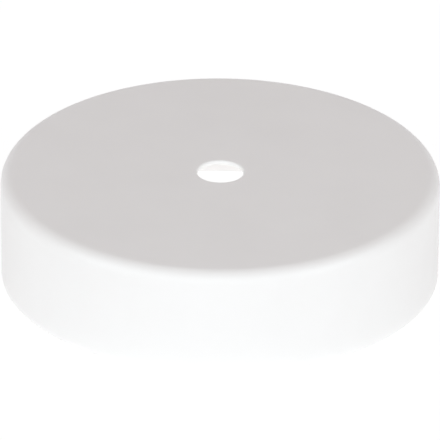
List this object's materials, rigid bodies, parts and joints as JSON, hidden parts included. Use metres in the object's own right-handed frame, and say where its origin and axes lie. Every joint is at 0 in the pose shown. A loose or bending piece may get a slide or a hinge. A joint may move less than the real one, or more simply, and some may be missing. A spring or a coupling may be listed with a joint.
{
  "type": "electrical ceiling rose",
  "caption": "Shallow round canopy cup of drawn, white-coated sheet steel with a central cord hole; it covers the ceiling outlet of a pendant lamp.",
  "frame": {"origin": "centre of the rim's plane, which lies against the ceiling in use and on the table in the picture", "axes": "+Z along the cup's axis from the open mouth to the closed face; X and Y are equal by symmetry"},
  "size_m": [0.1, 0.1, 0.025],
  "materials": {
    "white_powder_coat": "white powder coat on sheet steel, satin, very fine orange peel"
  },
  "bodies": {
    "root": {"canopy": "white_powder_coat"}
  },
  "joints": []
}
